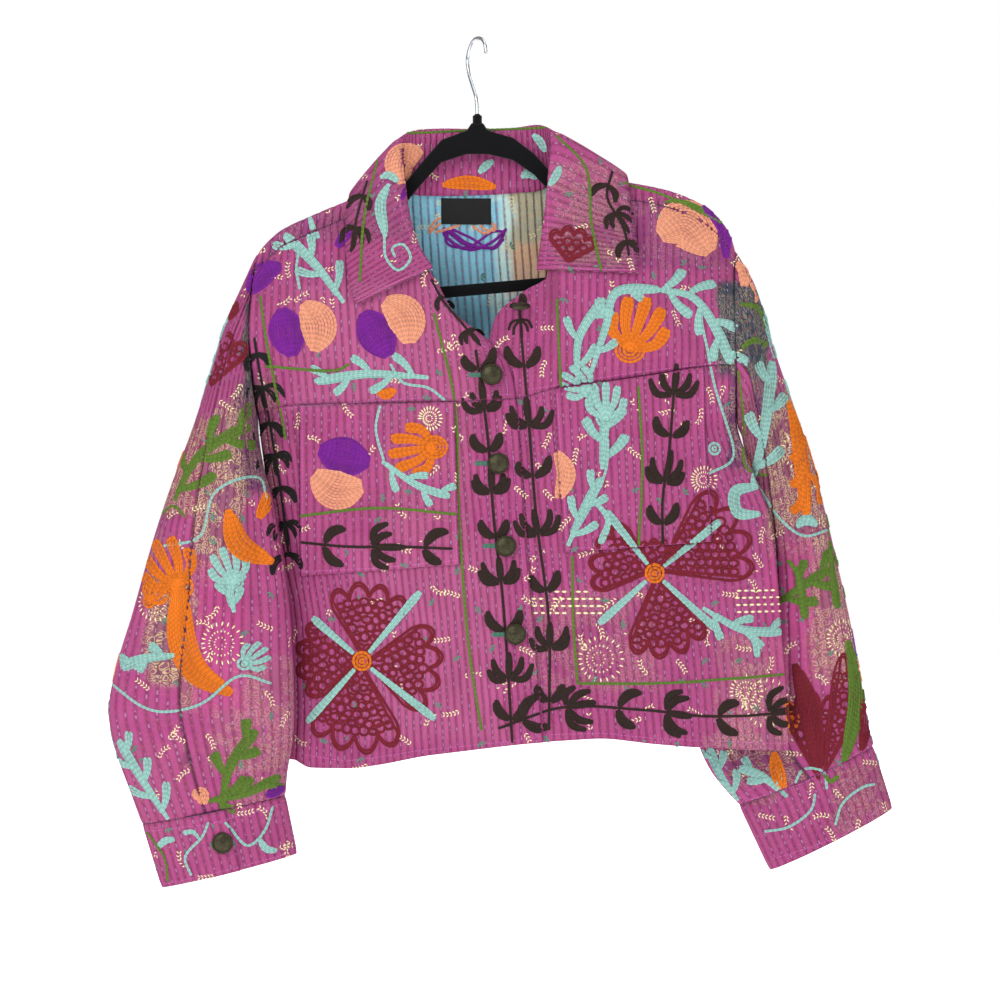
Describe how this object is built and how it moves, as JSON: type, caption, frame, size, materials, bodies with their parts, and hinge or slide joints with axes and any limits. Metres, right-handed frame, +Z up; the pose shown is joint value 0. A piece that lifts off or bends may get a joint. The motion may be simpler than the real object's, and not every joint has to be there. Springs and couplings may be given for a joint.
{
  "type": "kantha jacket on a hanger",
  "caption": "Short quilted jacket with a shirt collar, patch pockets, dropped sleeves and metal buttons, hanging on a flocked hanger.",
  "frame": {"origin": "the point inside the hanger's hook that rests on the rail", "axes": "+Z up, -Y the jacket's front, so +X is the wearer's left"},
  "size_m": [0.7474, 0.1373, 0.8055],
  "materials": {
    "quilted_cloth": "matt quilted cotton with chain-stitch embroidery",
    "sleeve_cloth": "matt printed and quilted cotton",
    "button_metal": "antique, embossed",
    "label_cloth": "woven satin, bare",
    "flock": "short black velvet flock",
    "hook_wire": "bright wire"
  },
  "bodies": {
    "root": {"right_front_yoke": "quilted_cloth", "left_front_yoke": "quilted_cloth", "right_front": "quilted_cloth", "left_front": "quilted_cloth", "back": "quilted_cloth", "right_pocket": "quilted_cloth", "left_pocket": "quilted_cloth", "collar": "quilted_cloth", "right_sleeve_upper": "sleeve_cloth", "right_sleeve_under": "sleeve_cloth", "left_sleeve_upper": "sleeve_cloth", "left_sleeve_under": "sleeve_cloth", "right_cuff": "sleeve_cloth", "left_cuff": "sleeve_cloth", "front_button_1": "button_metal", "front_button_2": "button_metal", "front_button_3": "button_metal", "front_button_4": "button_metal", "front_button_5": "button_metal", "right_cuff_button": "button_metal", "left_cuff_button": "button_metal", "neck_label": "label_cloth", "hanger_arms": "flock", "hanger_bar": "flock", "hanger_hook": "hook_wire"}
  },
  "joints": []
}
